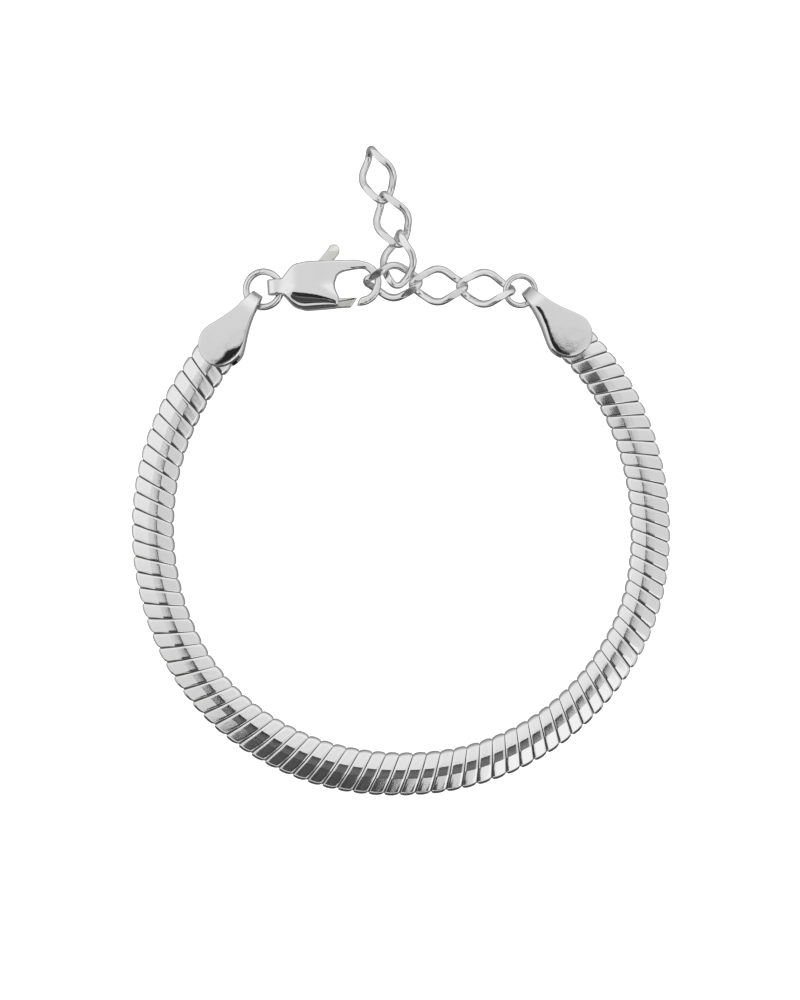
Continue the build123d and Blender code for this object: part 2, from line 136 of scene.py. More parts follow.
def rhodium_silver(name, tone, roughness, scratch_strength):
    """Silver under rhodium plate: near white, mirror bright, with hairline polishing marks."""
    material = bpy.data.materials.new(name)
    material.use_nodes = True
    tree = material.node_tree
    tree.nodes.clear()
    place = add_node(tree, "ShaderNodeTexCoord", {}).outputs["Object"]
    # polishing marks are about 20 microns apart on the real metal, and drawn at 0.12 mm so that
    # they show
    marks = add_node(tree, "ShaderNodeTexNoise",
                     {"Scale": 1 / (0.12 * MM), "Detail": 3.0, "Roughness": 0.6}, Vector=place)
    # a slow unevenness left by tumbling, about 1.5 mm across
    waves = add_node(tree, "ShaderNodeTexNoise",
                     {"Scale": 1 / (1.5 * MM), "Detail": 2.0}, Vector=place)
    haze = add_node(tree, "ShaderNodeMapRange",
                    {"From Min": 0.3, "From Max": 0.7,
                     "To Min": 0.8 * roughness, "To Max": 1.5 * roughness},
                    Value=waves.outputs["Fac"])
    fine = add_node(tree, "ShaderNodeBump",
                    {"Strength": scratch_strength, "Distance": 0.008 * MM},
                    Height=marks.outputs["Fac"])
    relief = add_node(tree, "ShaderNodeBump", {"Strength": 0.25, "Distance": 0.02 * MM},
                      Height=waves.outputs["Fac"], Normal=fine.outputs["Normal"])
    metal = add_node(tree, "ShaderNodeBsdfPrincipled",
                     {"Base Color": linear(tone), "Metallic": 1.0},
                     Roughness=haze.outputs["Result"], Normal=relief.outputs["Normal"])
    add_node(tree, "ShaderNodeOutputMaterial", {}, Surface=metal.outputs["BSDF"])
    return material


# tumbled and lightly buffed: a mirror that is slightly grained, so reflections break up into tones
chain_silver = rhodium_silver("chain_silver", "#f1f1f1", 0.08, 0.5)
# the same metal inside the joints: satin, where no polishing wheel reaches, and painted dark grey
# as painted shade so that the gaps between links read dark
gap_shade_silver = rhodium_silver("gap_shade_silver", "#83827f", 0.5, 0.3)


def finish_piece(bm, name, node, material, body="bracelet"):
    """Turn a bmesh in millimetres into a piece that stands for a node and rides with a body."""
    bmesh.ops.scale(bm, vec=(MM, MM, MM), verts=bm.verts)
    bmesh.ops.recalc_face_normals(bm, faces=bm.faces)
    for face in bm.faces:
        face.smooth = True
    for edge in bm.edges:
        edge.smooth = edge.calc_face_angle(pi) < SHARP_EDGE
    mesh = bpy.data.meshes.new(name)
    bm.to_mesh(mesh)
    bm.free()
    mesh.materials.append(material)
    piece = bpy.data.objects.new(name, mesh)
    bpy.context.scene.collection.objects.link(piece)
    normals = piece.modifiers.new("even_shading", "WEIGHTED_NORMAL")
    normals.keep_sharp = True
    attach(piece, body)
    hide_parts(node)


def round_edges(bm, edges, radius, segments):
    """Round or bevel edges of a shape."""
    bmesh.ops.bevel(bm, geom=edges, offset=radius, segments=segments, profile=0.5,
                    affect="EDGES", material=-1)


def level_edges(bm):
    """Return the edges that lie level."""
    return [e for e in bm.edges if abs(e.verts[0].co.z - e.verts[1].co.z) < 1e-6]


def cut_along(bm, point, normal, snap=1e-4, drop_beyond=False):
    """Cut a shape along a plane, and drop what lies beyond it if asked to."""
    bmesh.ops.bisect_plane(bm, geom=bm.verts[:] + bm.edges[:] + bm.faces[:], dist=snap,
                           plane_co=point, plane_no=normal, clear_outer=drop_beyond)


def axes_place(x_way, y_way, z_way, spot):
    """Return the place of a piece from the ways that its axes point and the spot of its middle."""
    place = Matrix((x_way, y_way, z_way)).transposed().to_4x4()
    place.translation = spot
    return place


def from_table(table, where, column):
    """Read one column of a table at a place between its rows."""
    return float(np.interp(where, [row[0] for row in table], [row[column] for row in table]))


def heading_vector(angle):
    """Return the level direction of an angle in radians."""
    return Vector((cos(angle), sin(angle), 0))


def route_line():
    """Return the points of the smooth line through the route, which leaves both caps straight."""
    knots = [LOOP_RADIUS * row[1] * heading_vector(radians(row[0])) for row in CHAIN_ROUTE]
    start_way = heading_vector(LEFT_CAP_HEADING)
    end_way = -heading_vector(RIGHT_CAP_HEADING)
    knots[0] = Vector((*LEFT_CAP_TIP, 0)) + CAP_BULKHEAD * start_way
    knots[-1] = Vector((*RIGHT_CAP_TIP, 0)) - CAP_BULKHEAD * end_way
    spots = np.array([[p.x, p.y] for p in knots])
    chord = np.linalg.norm(np.diff(spots, axis=0), axis=1)
    reach = np.concatenate([[0], np.cumsum(chord)])
    count = len(spots)
    system = np.eye(count)
    target = np.zeros((count, 2))
    target[0] = start_way[:2]
    target[-1] = end_way[:2]
    for i in range(1, count - 1):
        before, after = chord[i - 1], chord[i]
        system[i, i - 1:i + 2] = [after, 2 * (before + after), before]
        target[i] = 3 * (after * (spots[i] - spots[i - 1]) / before
                         + before * (spots[i + 1] - spots[i]) / after)
    slopes = np.linalg.solve(system, target)
    points = []
    for where in np.linspace(0, reach[-1], ROUTE_STEPS):
        i = min(int(np.searchsorted(reach, where, side="right")) - 1, count - 2)
        span = chord[i]
        t = (where - reach[i]) / span
        points.append((2 * t**3 - 3 * t**2 + 1) * spots[i]
                      + (t**3 - 2 * t**2 + t) * span * slopes[i]
                      + (3 * t**2 - 2 * t**3) * spots[i + 1]
                      + (t**3 - t**2) * span * slopes[i + 1])
    return np.array(points)


def facet_height(outward):
    """Return half the chain's height on its strip and facets, with a soft crease between them."""
    beyond = outward - STRIP_WIDTH / 2
    if abs(beyond) < CREASE:
        return CHAIN_HEIGHT / 2 - tan(FACET_TILT) * (beyond + CREASE)**2 / (4 * CREASE)
    return CHAIN_HEIGHT / 2 - tan(FACET_TILT) * max(0.0, beyond)


def section_height(y, width):
    """Return half the chain's height at a distance from its middle, its round edges included."""
    half, edge = width / 2, CHAIN_EDGE_RADIUS
    offset = STRIP_OFFSET if y > 0 else -STRIP_OFFSET
    into_edge = abs(y) - (half - edge)
    if into_edge > edge * sin(FACET_TILT):
        arc_level = facet_height(half - edge - offset) - edge / cos(FACET_TILT)
        return arc_level + sqrt(max(0.0, edge**2 - into_edge**2))
    return facet_height(abs(y) - offset)


def skewed_bar(length, width):
    """Return a plain bar with skewed ends, about its middle."""
    bm = bmesh.new()
    bmesh.ops.create_cube(bm, size=1.0)
    bmesh.ops.scale(bm, vec=(length, width, CHAIN_HEIGHT), verts=bm.verts)
    skew = Matrix.Identity(4)
    skew[0][1] = tan(LINK_SKEW)
    bmesh.ops.transform(bm, matrix=skew, verts=bm.verts)
    return bm


def bar_corners(bm, width, sharp):
    """Return the uncut upright edges at a skewed bar's sharp or blunt corners."""
    found = []
    for edge in bm.edges:
        (x, y, z), other = edge.verts[0].co, edge.verts[1].co
        upright = abs(z - other.z) > 0.9 * CHAIN_HEIGHT
        at_side = abs(y) > 0.49 * width
        ahead = x > y * tan(LINK_SKEW)
        if upright and at_side and ((y > 0) == ahead) == sharp:
            found.append(edge)
    return found


def add_to(whole, bm, place):
    """Move a shape to its place in a whole."""
    bmesh.ops.transform(bm, matrix=place, verts=bm.verts)
    part = bpy.data.meshes.new("part")
    bm.to_mesh(part)
    bm.free()
    whole.from_mesh(part)
    bpy.data.meshes.remove(part)


def add_link(chain, width, length, place):
    """Cut one skewed link and add it to the chain."""
    bm = skewed_bar(length, width)
    round_edges(bm, bar_corners(bm, width, sharp=True), LINK_SHARP_CORNER, segments=3)
    round_edges(bm, bar_corners(bm, width, sharp=False), LINK_BLUNT_CORNER, segments=3)
    round_edges(bm, level_edges(bm), LINK_BEVEL, segments=2)
    half = width / 2
    rows = [STRIP_OFFSET + side * STRIP_WIDTH / 2 + away
            for side in (-1, 1) for away in (-CREASE, 0.0, CREASE)]
    for turn in EDGE_CUTS:
        reach = half - CHAIN_EDGE_RADIUS + CHAIN_EDGE_RADIUS * sin(radians(turn))
        rows += [-reach, reach]
    for row in rows:
        cut_along(bm, (0, row, 0), (0, 1, 0), LINK_SNAP)
    for share in LINK_CUTS:
        cut_along(bm, (share * length / 2, 0, 0), (1, -tan(LINK_SKEW), 0), LINK_SNAP)
    for vert in bm.verts:
        x, y, z = vert.co
        across = (x - y * tan(LINK_SKEW)) / (length / 2)
        bulged = max(0.0, (abs(y) - half + SCALLOP_REACH) / SCALLOP_REACH)
        vert.co.z = z * section_height(y, width) / (CHAIN_HEIGHT / 2)
        vert.co.x = x * (1 - LINK_WEDGE * y / LOOP_RADIUS)
        vert.co.y = y - (1 if y > 0 else -1) * SCALLOP * bulged**2 * across**2
    bmesh.ops.remove_doubles(bm, verts=bm.verts, dist=LINK_MERGE)
    add_to(chain, bm, place)


def add_joint(joints, width, place):
    """Add the metal seen down in the gap between two links, which carries painted shade."""
    bm = skewed_bar(JOINT_LENGTH, width - 2 * JOINT_INSET)
    half = width / 2 - JOINT_INSET
    for share in JOINT_CUTS:
        for side in (-1, 1):
            cut_along(bm, (0, side * share * half, 0), (0, 1, 0), LINK_SNAP)
    for vert in bm.verts:
        deep = section_height(vert.co.y, width) - JOINT_INSET
        vert.co.z *= deep / (CHAIN_HEIGHT / 2)
    add_to(joints, bm, place)


route = route_line()
route_run = np.concatenate([[0], np.cumsum(np.linalg.norm(np.diff(route, axis=0), axis=1))])
chain_run = route_run[-1]


def route_spot(along):
    """Return the point on the chain's route at a distance along it, and its direction there."""
    spot = [float(np.interp(along, route_run, route[:, k])) for k in (0, 1)]
    i = min(max(int(np.searchsorted(route_run, along)), 1), len(route) - 1)
    way = Vector((*(route[i] - route[i - 1]), 0)).normalized()
    return spot, way


def route_share(spot, column):
    """Return one share of the route's table at a point, by its angle round the loop."""
    angle = degrees(atan2(spot[1], spot[0]))
    # the table counts on past a full turn at the right
    return from_table(CHAIN_ROUTE, angle if angle > 90 else angle + 360, column)


def chain_place(middle):
    """Return the place of what lies at a distance along the route, and the chain's width there."""
    spot, way = route_spot(middle)
    # the chain climbs to the middle of each cap's height over the stretch before it
    from_cap = min(middle, chain_run - middle) - (CAP_LENGTH - CAP_BULKHEAD)
    fall = pi * min(1.0, max(0.0, from_cap / CHAIN_RISE))
    lift = CAP_HEIGHT / 2 - CHAIN_HEIGHT / 2
    slope = lift / 2 * pi / CHAIN_RISE * sin(fall) * (1 if middle > chain_run / 2 else -1)
    side = Vector((-way.y, way.x, 0))
    travel = Vector((way.x, way.y, slope)).normalized()
    level = CHAIN_HEIGHT / 2 + lift * (1 + cos(fall)) / 2
    place = axes_place(travel, side, travel.cross(side), (spot[0], spot[1], level))
    return place, CHAIN_WIDTH * route_share(spot, ROUTE_WIDTH)


pitch_shares = [route_share(route_spot((i + 0.5) / LINK_COUNT * chain_run)[0], ROUTE_PITCH)
                for i in range(LINK_COUNT)]
pitch_unit = (chain_run - LINK_GAP) / sum(pitch_shares)
chain = bmesh.new()
joints = bmesh.new()
along = LINK_GAP / 2
for number, share in enumerate(pitch_shares, start=1):
    pitch = pitch_unit * share
    place, width = chain_place(along + pitch / 2)
    add_link(chain, width, pitch - LINK_GAP + LINK_LONGER, place)
    along += pitch
    if number < LINK_COUNT:
        place, width = chain_place(along)
        add_joint(joints, width, place)
finish_piece(chain, "snake_chain_links", "snake_chain", chain_silver)
# the joints are painted dark grey as painted shade in the gaps between links
finish_piece(joints, "snake_chain_joints", "snake_chain", gap_shade_silver)

# End caps: drop-shaped, folded from silver sheet, with a crowned front plate whose inner flank is
# pressed round, and a strap folded back round the jump ring. Polished and rhodium plated.
CAP_STRAP_HEIGHT = 2.2
CAP_FOLD_REACH = 2.5
CAP_RADIUS = 2.72
CAP_EYE_LOW, CAP_EYE_HIGH = (0.36, -2.0, 0.36), (2.26, 2.0, 1.76)
CAP_EYE_CORNER = 0.4
CAP_PASSAGE_WIDTH = 5.04
CAP_MOUTH = 8.0
CAP_MOUTH_HEIGHT = 2.46
MOUTH_CUTTER_HALF_WIDTH = 4.0
CUTTER_PAST_END = 1.0
CAP_MERGE = 1e-3
CAP_HALF_WIDTHS = [(0.0, 0.64), (1.4, 0.85), (2.5, 1.06), (3.5, 1.33), (4.6, 1.72), (5.2, 1.98),
                   (5.8, 2.24), (6.4, 2.49), (6.9, 2.66), (7.38, 2.72)]
CAP_LOWER_EDGE = 0.25
CROWN_TILT = tan(radians(9))
FLANK_TILT = 1.0
FLANK_ROUNDNESS = 1.6

# where a cap is narrow or thin, its edges take at most these shares of its half width, and of its
# height there
CAP_EDGE_SHARE = 0.8
CAP_LOWER_SHARE = 0.3
CAP_FLANK_SHARE = 0.4

# a cap's grid: steps along each straight side and round the round end, and its rows from the
# middle of its underside, round the edge, to the middle of its front
CAP_SIDE_STEPS = 34
CAP_ROUND_STEPS = 28
CAP_ROWS = ([("low", 1.0), ("low", 0.5)] + [("under", i / 3) for i in range(4)]
            + [("flank", i / 7) for i in range(8)] + [("crown", i / 4) for i in range(1, 5)]
            + [("top", i / 4) for i in range(1, 5)])

# along a cap's left and right edge, from its tip to the middle of its round end: the width of the
# slow crown beside the edge, then of the steep flank outside it
LEFT_CAP_EDGES = {
    1: [(0.0, 0.05, 0.10), (5.6, 0.06, 0.20), (6.4, 0.20, 0.34), (7.1, 0.80, 0.48),
        (8.0, 1.10, 0.58), (9.1, 0.95, 0.50), (10.1, 0.50, 0.32), (10.8, 0.15, 0.22),
        (11.65, 0.10, 0.15)],
    -1: [(0.0, 0.05, 0.10), (11.65, 0.10, 0.15)],
}
RIGHT_CAP_EDGES = {
    1: [(0.0, 0.05, 0.10), (7.4, 0.08, 0.10), (9.0, 0.20, 0.14), (10.5, 0.40, 0.24),
        (11.65, 0.45, 0.32)],
    -1: [(0.0, 0.05, 0.10), (1.6, 0.10, 0.12), (2.2, 0.40, 0.30), (3.0, 0.60, 0.40),
         (4.6, 0.68, 0.36), (6.4, 0.66, 0.26), (7.6, 0.56, 0.30), (8.6, 0.26, 0.34),
         (9.8, 0.20, 0.32), (11.65, 0.45, 0.32)],
}

# buffed on a wheel before it is plated: a clear mirror, whose reflections keep their edges
bright_silver = rhodium_silver("bright_silver", "#f1f1f1", 0.05, 0.15)


def carved(solid, cutters):
    """Cut shapes out of a solid and return what is left of it."""
    shapes = []
    for bm in [solid] + cutters:
        bmesh.ops.recalc_face_normals(bm, faces=bm.faces)
        mesh = bpy.data.meshes.new("shape")
        bm.to_mesh(mesh)
        bm.free()
        shapes.append(bpy.data.objects.new("shape", mesh))
        bpy.context.scene.collection.objects.link(shapes[-1])
    for cutter in shapes[1:]:
        cut = shapes[0].modifiers.new("cut", "BOOLEAN")
        cut.object = cutter
        cut.operation = "DIFFERENCE"
        cut.solver = "EXACT"
    left = bmesh.new()
    left.from_mesh(shapes[0].evaluated_get(bpy.context.evaluated_depsgraph_get()).to_mesh())
    for shape in shapes:
        bpy.data.meshes.remove(shape.data)
    return left


def block(low, high):
    """Return a plain block between two corners."""
    bm = bmesh.new()
    bmesh.ops.create_cube(bm, size=1.0)
    low, high = Vector(low), Vector(high)
    bmesh.ops.scale(bm, vec=high - low, verts=bm.verts)
    bmesh.ops.translate(bm, vec=(low + high) / 2, verts=bm.verts)
    return bm


def eye_block(low, high, corner, segments):
    """Return a block to cut an eye with, whose edges across the piece are rounded."""
    bm = block(low, high)
    across = [e for e in bm.edges if abs(e.verts[0].co.y - e.verts[1].co.y) > 1]
    round_edges(bm, across, corner, segments)
    return bm


def cap_half_width(s):
    """Return a cap's half width at a distance from its tip."""
    middle = CAP_LENGTH - CAP_RADIUS
    if s > middle:
        return sqrt(max(0.0, CAP_RADIUS**2 - (s - middle)**2))
    return from_table(CAP_HALF_WIDTHS, s, 1)


def cap_outline():
    """Return a cap's outline from tip to tip: points, spine places and runs from the tip."""
    middle = CAP_LENGTH - CAP_RADIUS
    stations = [middle * i / CAP_SIDE_STEPS for i in range(CAP_SIDE_STEPS + 1)]
    outline = [(s, cap_half_width(s), s, s) for s in stations]
    for i in range(1, CAP_ROUND_STEPS):
        turn = pi / 2 - pi * i / CAP_ROUND_STEPS
        past = CAP_RADIUS * (pi / 2 - abs(turn))
        outline.append((middle + CAP_RADIUS * cos(turn), CAP_RADIUS * sin(turn), middle,
                        middle + past))
    return outline + [(s, -cap_half_width(s), s, s) for s in reversed(stations)]


def cap_point(kind, share, x, y, spine_x, run, edges):
    """Return the point on one row of a cap's grid, above a point of its outline."""
    reach = hypot(x - spine_x, y)
    table = edges[1 if y > 0 else -1]
    crown, flank = from_table(table, run, 1), from_table(table, run, 2)
    narrowed = min(1.0, CAP_EDGE_SHARE * reach / (crown + flank))
    crown *= narrowed
    flank *= narrowed
    # the front is round over the fold and then level, and the back is round under it
    fold = CAP_STRAP_HEIGHT / 2
    top = fold + (CAP_HEIGHT - fold) * sqrt(1 - max(0.0, 1 - x / CAP_FOLD_REACH)**2)
    bottom = fold - sqrt(max(0.0, fold**2 - (fold - min(x, fold))**2))
    low = min(CAP_LOWER_EDGE, CAP_LOWER_SHARE * (top - bottom))
    crown_drop = CROWN_TILT / 2 * crown
    flank_drop = min(FLANK_TILT * flank, CAP_FLANK_SHARE * (top - bottom))
    if kind == "low":
        inset, z = low + share * (reach - low), bottom
    elif kind == "under":
        turn = share * pi / 2
        inset, z = low * (1 - sin(turn)), bottom + low * (1 - cos(turn))
    elif kind == "flank":
        inset, z = share * flank, top - crown_drop - flank_drop * (1 - share)**FLANK_ROUNDNESS
    elif kind == "crown":
        inset, z = flank + share * crown, top - crown_drop * (1 - share)**2
    else:
        inset, z = flank + crown + share * (reach - flank - crown), top
    part = inset / reach
    return x + part * (spine_x - x), y - part * y, z


def add_cap(name, node, tip, heading, edges):
    """Shape one cap from a grid, cut its inside and its eye, and lay it in its place."""
    outline = cap_outline()
    columns, rows = len(outline) - 1, len(CAP_ROWS) - 1
    bm = bmesh.new()
    bmesh.ops.create_grid(bm, x_segments=columns, y_segments=rows, size=1.0)
    for vert in bm.verts:
        place = outline[round((vert.co.x + 1) / 2 * columns)]
        kind, share = CAP_ROWS[round((vert.co.y + 1) / 2 * rows)]
        vert.co = cap_point(kind, share, *place, edges)
    bmesh.ops.remove_doubles(bm, verts=bm.verts, dist=CAP_MERGE)
    low, high = (CAP_HEIGHT - CAP_MOUTH_HEIGHT) / 2, (CAP_HEIGHT + CAP_MOUTH_HEIGHT) / 2
    end = CAP_LENGTH + CUTTER_PAST_END
    passage = block((CAP_BULKHEAD, -CAP_PASSAGE_WIDTH / 2, low),
                    (end, CAP_PASSAGE_WIDTH / 2, high))
    mouth = block((CAP_MOUTH, -MOUTH_CUTTER_HALF_WIDTH, low),
                  (end, MOUTH_CUTTER_HALF_WIDTH, high))
    eye = eye_block(CAP_EYE_LOW, CAP_EYE_HIGH, CAP_EYE_CORNER, segments=5)
    bm = carved(bm, [passage, mouth, eye])
    turn = Matrix.Rotation(heading, 4, "Z")
    turn.translation = (*tip, 0)
    bmesh.ops.transform(bm, matrix=turn, verts=bm.verts)
    finish_piece(bm, name, node, bright_silver)


add_cap("left_end_cap", "end_cap_left", LEFT_CAP_TIP, LEFT_CAP_HEADING, LEFT_CAP_EDGES)
add_cap("right_end_cap", "end_cap_right", RIGHT_CAP_TIP, RIGHT_CAP_HEADING, RIGHT_CAP_EDGES)

# Jump rings: round silver wire wound, cut and closed, with a fine butt seam where the ends meet.
# The left one joins its cap to the clasp, the right one its cap to the extension chain.
SEAM = 0.03
SEAM_EDGE = 0.03
RING_SIDES = 28
RING_STEPS = 96
LEFT_RING_RADIUS = 2.08
LEFT_RING_WIRE = 0.79
LEFT_RING_CENTRE = (-16.31, 28.32, 1.10)
LEFT_RING_SLOPE = (0.143, 0.018)
LEFT_RING_SEAM = radians(100)
RIGHT_RING_RADIUS = 1.73
RIGHT_RING_WIRE = 0.66
RIGHT_RING_LIE = (13.930, 28.145, 1.180, -5.58, 3.27, 9.81)
RIGHT_RING_SEAM = radians(-60)

# drawn wire, plated but only tumbled: bright, with softer edges to what it reflects
wire_silver = rhodium_silver("wire_silver", "#ebebeb", 0.12, 0.3)


def add_ring(name, node, radius, wire, seam_turn, place):
    """Spin a wire section round into a ring that stops short of its own start by the seam."""
    bm = bmesh.new()
    bmesh.ops.create_circle(bm, segments=RING_SIDES, radius=wire / 2, cap_ends=False)
    bmesh.ops.rotate(bm, verts=bm.verts, cent=(0, 0, 0), matrix=Matrix.Rotation(pi / 2, 3, "X"))
    bmesh.ops.translate(bm, vec=(radius, 0, 0), verts=bm.verts)
    bmesh.ops.spin(bm, geom=bm.edges[:], cent=(0, 0, 0), axis=(0, 0, 1),
                   angle=2 * pi - SEAM / radius, steps=RING_STEPS, use_merge=False)
    ends = [e for e in bm.edges if e.is_boundary]
    bmesh.ops.holes_fill(bm, edges=ends, sides=0)
    round_edges(bm, ends, SEAM_EDGE, segments=2)
    bmesh.ops.rotate(bm, verts=bm.verts, cent=(0, 0, 0), matrix=Matrix.Rotation(seam_turn, 3, "Z"))
    bmesh.ops.transform(bm, matrix=place, verts=bm.verts)
    finish_piece(bm, name, node, wire_silver)


def lie_matrix(lie):
    """Return the place of a piece from its middle and its yaw, pitch and roll in degrees."""
    x, y, z, yaw, pitch, roll = lie
    turn = Matrix.Rotation(radians(yaw), 4, "Z") @ Matrix.Rotation(radians(pitch), 4, "Y")
    return Matrix.Translation((x, y, z)) @ turn @ Matrix.Rotation(radians(roll), 4, "X")


slope_x, slope_y = LEFT_RING_SLOPE
ring_up = Vector((-slope_x, -slope_y, 1)).normalized()
ring_along = Vector((1, 0, slope_x)).normalized()
left_ring_place = axes_place(ring_along, ring_up.cross(ring_along), ring_up, LEFT_RING_CENTRE)
add_ring("left_jump_ring", "jump_ring_left", LEFT_RING_RADIUS, LEFT_RING_WIRE, LEFT_RING_SEAM,
         left_ring_place)
add_ring("right_jump_ring", "jump_ring_right", RIGHT_RING_RADIUS, RIGHT_RING_WIRE,
         RIGHT_RING_SEAM, lie_matrix(RIGHT_RING_LIE))

# Lobster clasp: cast in silver by lost wax, then filed flat on top, tumbled and rhodium plated.
# Its bail, body and hook are one piece, with a slot sawn in it for the lever.
CLASP_ORIGIN = (-15.83, 28.50)
CLASP_YAW = radians(3.5)
CLASP_THICKNESS = 2.9
CLASP_RIM = 0.24
BAIL_HEIGHT = 1.90
BAIL_EYE_LOW, BAIL_EYE_HIGH = (0.35, -2.0, -0.6), (2.2, 2.0, 0.6)
BAIL_EYE_CORNER = 0.5
HOOK_TIP_HEIGHT = 1.04

# the rounded rim is drawn half as deep again as it is wide
RIM_DEPTH = 1.5

# the clasp's faces are cut into squares between these corners, so that its height can be shaped
SQUARES_LOW, SQUARES_HIGH = (0.1, -3.0), (13.5, 2.6)
SQUARE = 0.16
CLASP_MERGE = 1e-4

# a corner's round takes at most this share of each side beside it
CORNER_SHARE = 0.48

# plan of the clasp in its own frame, with the radius at each corner
CLASP_OUTLINE = [
    (0.0, -0.93, 0.2), (0.0, 0.93, 0.2), (1.74, 0.93, 0.4), (3.15, 2.47, 1.3), (4.7, 2.72, 3.0),
    (10.85, 2.66, 9.0), (12.85, 1.88, 3.0), (13.63, 0.0, 3.0), (12.85, -2.05, 3.0),
    (11.45, -2.82, 2.0), (10.36, -2.79, 0.1), (10.78, -1.91, 0.1), (11.04, -1.80, 0.3),
    (11.75, -1.62, 1.0), (12.17, -1.30, 1.0), (12.57, -0.47, 1.5), (12.70, 0.02, 1.5),
    (12.20, 0.86, 1.5), (11.64, 1.44, 0.6), (10.94, 1.54, 1.5), (9.94, 1.45, 3.0),
    (8.93, 1.31, 1.5), (8.30, 1.0, 0.5), (7.90, 0.0, 1.0), (8.0, -0.79, 2.0), (8.35, -1.61, 1.0),
    (8.25, -2.97, 0.6), (4.45, -3.07, 1.2), (3.0, -2.55, 1.6), (1.74, -0.93, 0.6),
]

# the top rises from the bail to the body and falls to the hook's tip. Towards the clasp's low side,
# over a band across it, the rise gets shorter and the fall starts later
RISE_FROM, RISE_LENGTH, RISE_SHORTER = 1.0, 2.8, 1.0
RISE_BAND_FROM, RISE_BAND = 0.3, 1.6
FALL_FROM, FALL_LATER, FALL_TO = 5.4, 2.2, 10.6
FALL_BAND_FROM, FALL_BAND = 0.5, 2.5

# the roll along the low side runs from a shoulder, which moves down towards the hook, to a foot,
# which comes up towards the bail
ROLL_FROM, ROLL_TO = 1.9, 8.6
SHOULDER, SHOULDER_FALL, SHOULDER_CURVE = -0.74, 1.85, 2.2
FOOT, FOOT_RISE, FOOT_CURVE, FOOT_LEVEL_FROM = -3.12, 1.9, 2.6, 4.6

# the slot's room for the lever: first and last angle about its pivot in degrees, and reach
PIVOT = (5.73, -1.75)
SLOT_HEIGHT = 1.24
TAB_ROOM = (58, 113, 7.0)
GATE_ROOM = (-32, 31, 3.5)
HUB_ROOM = 1.02
HUB_SIDES = 40


def rounded_path(corners, steps):
    """Return the points of a closed path through corners, each rounded by its own radius."""
    points = []
    for i, (corner, radius) in enumerate(corners):
        before = corners[i - 1][0] - corner
        after = corners[(i + 1) % len(corners)][0] - corner
        half_angle = before.angle(after) / 2
        reach = min(radius / tan(half_angle), CORNER_SHARE * before.length,
                    CORNER_SHARE * after.length)
        radius = reach * tan(half_angle)
        inward = (before.normalized() + after.normalized()).normalized()
        middle = corner + inward * radius / sin(half_angle)
        first = corner + reach * before.normalized() - middle
        last = corner + reach * after.normalized() - middle
        for step in range(steps + 1):
            turn = Matrix.Rotation(first.angle(last) * step / steps, 3, first.cross(last))
            points.append(middle + turn @ first)
    return points


def verts_of(made):
    """Return the vertices among what an operator has made."""
    return [part for part in made if isinstance(part, bmesh.types.BMVert)]


def raised(corners, height):
    """Return the upright block on a flat face."""
    bm = bmesh.new()
    face = bm.faces.new([bm.verts.new(corner) for corner in corners])
    top = bmesh.ops.extrude_face_region(bm, geom=[face])["geom"]
    bmesh.ops.translate(bm, vec=(0, 0, height), verts=verts_of(top))
    return bm


def plate(outline, thickness, rim, rim_steps):
    """Raise a rounded outline into a plate about its own level, with rounded rims."""
    corners = [(Vector((u, v, -thickness / 2)), radius) for u, v, radius in outline]
    bm = raised(rounded_path(corners, steps=4), thickness)
    bm.normal_update()
    round_edges(bm, level_edges(bm), rim, segments=rim_steps)
    return bm


def cut_squares(bm, low, high, spacing):
    """Cut a shape into squares seen from above, so that its height can be shaped."""
    for axis in (0, 1):
        for i in range(int((high[axis] - low[axis]) / spacing) + 1):
            spot, way = [0, 0, 0], [0, 0, 0]
            spot[axis] = low[axis] + i * spacing
            way[axis] = 1
            cut_along(bm, spot, way)


def blended(t):
    """Return a smooth step from 0 to 1."""
    t = min(1.0, max(0.0, t))
    return t**3 * (6 * t**2 - 15 * t + 10)


def clasp_half_height(u, v):
    """Return the clasp's half height at a point of its plan."""
    bail, body, tip = BAIL_HEIGHT / 2, CLASP_THICKNESS / 2, HOOK_TIP_HEIGHT / 2
    if u < bail:
        return sqrt(max(0.0, bail**2 - (bail - u)**2))
    rise = RISE_LENGTH - RISE_SHORTER * blended((RISE_BAND_FROM - v) / RISE_BAND)
    fall_from = FALL_FROM + FALL_LATER * blended((FALL_BAND_FROM - v) / FALL_BAND)
    height = (bail + (body - bail) * blended((u - RISE_FROM) / rise)
              - (body - tip) * blended((u - fall_from) / (FALL_TO - fall_from)))
    if not ROLL_FROM < u < ROLL_TO:
        return height
    share = (u - ROLL_FROM) / (ROLL_TO - ROLL_FROM)
    shoulder = SHOULDER - SHOULDER_FALL * share**SHOULDER_CURVE
    before_level = max(0.0, (FOOT_LEVEL_FROM - u) / (FOOT_LEVEL_FROM - ROLL_FROM))
    foot = FOOT + FOOT_RISE * before_level**FOOT_CURVE
    down = min(1.0, max(0.0, (shoulder - v) / (shoulder - foot)))
    return height * sqrt(1 - down**2)


def sector(first, last, reach):
    """Return the room that the lever sweeps about its pivot between two angles in degrees."""
    spokes = [Vector((*PIVOT, -SLOT_HEIGHT / 2))]
    for angle in (first, (first + last) / 2, last):
        spokes.append(spokes[0] + reach * heading_vector(radians(angle)))
    return raised(spokes, SLOT_HEIGHT)


def pivot_cylinder(radius, height):
    """Return an upright cylinder about the lever's pivot."""
    bm = bmesh.new()
    bmesh.ops.create_cone(bm, cap_ends=True, segments=HUB_SIDES, radius1=radius, radius2=radius,
                          depth=height)
    bmesh.ops.translate(bm, vec=(*PIVOT, 0), verts=bm.verts)
    return bm


